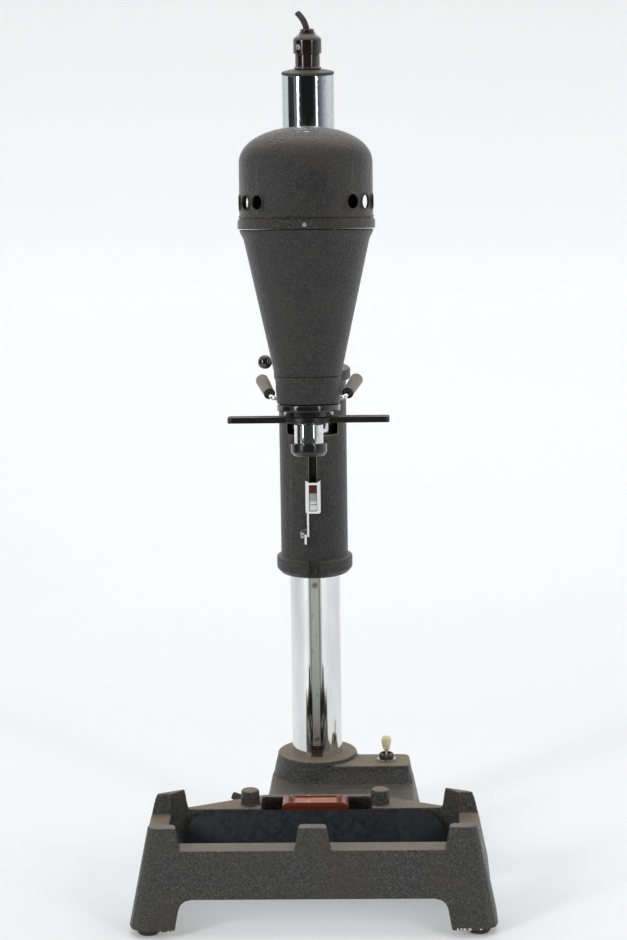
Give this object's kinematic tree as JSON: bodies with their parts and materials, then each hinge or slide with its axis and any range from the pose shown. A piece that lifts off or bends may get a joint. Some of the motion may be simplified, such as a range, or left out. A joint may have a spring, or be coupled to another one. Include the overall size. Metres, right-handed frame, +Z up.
{
  "type": "photo enlarger",
  "caption": "Small-format darkroom enlarger: cast base with a well, chrome column, sliding head with conical lamphouse, film stage and lens.",
  "frame": {"origin": "on the table, at the middle of the footprint of the base", "axes": "+Z up the column, -Y to the front of the enlarger, where its user stands, +X to that user's right"},
  "size_m": [0.2746, 0.2596, 0.6668],
  "materials": {
    "hammertone": "charcoal hammertone stove enamel, dusty",
    "chrome": "polished chrome plate, slightly pitted",
    "steel": "plain steel",
    "gloss_black": "glossy black",
    "satin_black": "black moulding",
    "black_metal": "satin black enamel",
    "panel": "smooth blue-black enamel",
    "red_plastic": "dark red moulding",
    "ivory_plastic": "ivory moulding",
    "grey_handle": "worn grey moulding",
    "rubber": "black rubber",
    "cable": "dark grey flexible sheath",
    "glass": "clear optical glass",
    "opal_glass": "opal bulb",
    "brass": "turned brass"
  },
  "bodies": {
    "base": {"base_casting": "hammertone", "foot_front_left": "rubber", "foot_front_right": "rubber", "foot_rear_left": "rubber", "foot_rear_right": "rubber", "bottom_cover": "steel", "front_plate": "panel", "plate_spacer_left": "steel", "plate_spacer_right": "steel", "plate_screw_left": "steel", "plate_screw_right": "steel", "cable_gland": "rubber", "switch_washer": "steel", "switch_nut": "satin_black", "switch_body": "satin_black", "column_tube": "chrome", "guide_strip": "steel", "strip_screw_1": "steel", "strip_screw_2": "steel", "column_cap": "hammertone", "connector_body": "gloss_black", "connector_cap": "gloss_black", "connector_screw": "steel", "cord_stub": "cable"},
    "tray": {"red_tray": "red_plastic"},
    "toggle": {"toggle_lever": "ivory_plastic"},
    "head": {"carriage_sleeve": "hammertone", "lower_bush": "brass", "upper_bush": "brass", "slot_strip": "satin_black", "head_arm": "hammertone", "film_stage": "black_metal", "guide_pin_left": "steel", "guide_pin_right": "steel"},
    "clamp": {"clamp_hub": "steel", "clamp_lever": "chrome", "ball_knob": "gloss_black"},
    "index": {"index_bezel": "chrome", "index_glass": "glass", "index_lever": "chrome"},
    "index_screw": {"index_thumb_screw": "chrome"},
    "lens": {"lens_arm": "black_metal", "lens_barrel": "chrome", "lens_glass": "glass"},
    "lamphouse": {"lamphouse_collar": "hammertone", "lamphouse_cone": "hammertone", "lamphouse_dome": "hammertone", "dome_screw_1": "steel", "dome_screw_2": "steel", "dome_screw_3": "steel", "lamp_socket": "satin_black", "lamp_bulb": "opal_glass", "condenser_cell": "black_metal", "condenser_lower": "glass", "condenser_upper": "glass", "pressure_ring": "black_metal", "pressure_glass": "glass"},
    "yoke": {"lift_yoke": "chrome", "lift_grip_left": "grey_handle", "lift_grip_right": "grey_handle"}
  },
  "joints": [
    {"name": "head_height", "type": "slide", "parent": "base", "child": "head", "axis": [0, 0, 1], "range_m": [-0.14, 0.21]},
    {"name": "clamp_turn", "type": "hinge", "parent": "head", "child": "clamp", "pos_m": [-0.0232, 0.0623, 0.3985], "axis": [1, 0, 0], "range_deg": [-30, 30]},
    {"name": "index_height", "type": "slide", "parent": "head", "child": "index", "axis": [0, 0, 1], "range_m": [-0.003, 0.003]},
    {"name": "index_screw_turn", "type": "hinge", "parent": "index", "child": "index_screw", "pos_m": [-0.0085, 0.0524, 0.2634], "axis": [1, 0, 0], "continuous": true},
    {"name": "lens_focus", "type": "slide", "parent": "head", "child": "lens", "axis": [0, 0, 1], "range_m": [-0.0012, 0.0018]},
    {"name": "lamphouse_lift", "type": "slide", "parent": "head", "child": "lamphouse", "axis": [0, 0.1219, 0.9925], "range_m": [0, 0.003]},
    {"name": "yoke_turn", "type": "hinge", "parent": "lamphouse", "child": "yoke", "pos_m": [0, -0.04022, 0.38949], "axis": [-1, 0, 0], "range_deg": [0, 15]},
    {"name": "switch_throw", "type": "hinge", "parent": "base", "child": "toggle", "pos_m": [0.0555, 0.0697, 0.069], "axis": [1, 0, 0], "range_deg": [0, 20]},
    {"name": "tray_lift", "type": "slide", "parent": "base", "child": "tray", "axis": [0, 0, 1], "range_m": [0, 0.03]}
  ],
  "couplings": [
    {"joint": "lens_focus", "follows": "head_height", "ratio": 0.008},
    {"joint": "yoke_turn", "follows": "lamphouse_lift", "rad_per_m": 87}
  ]
}
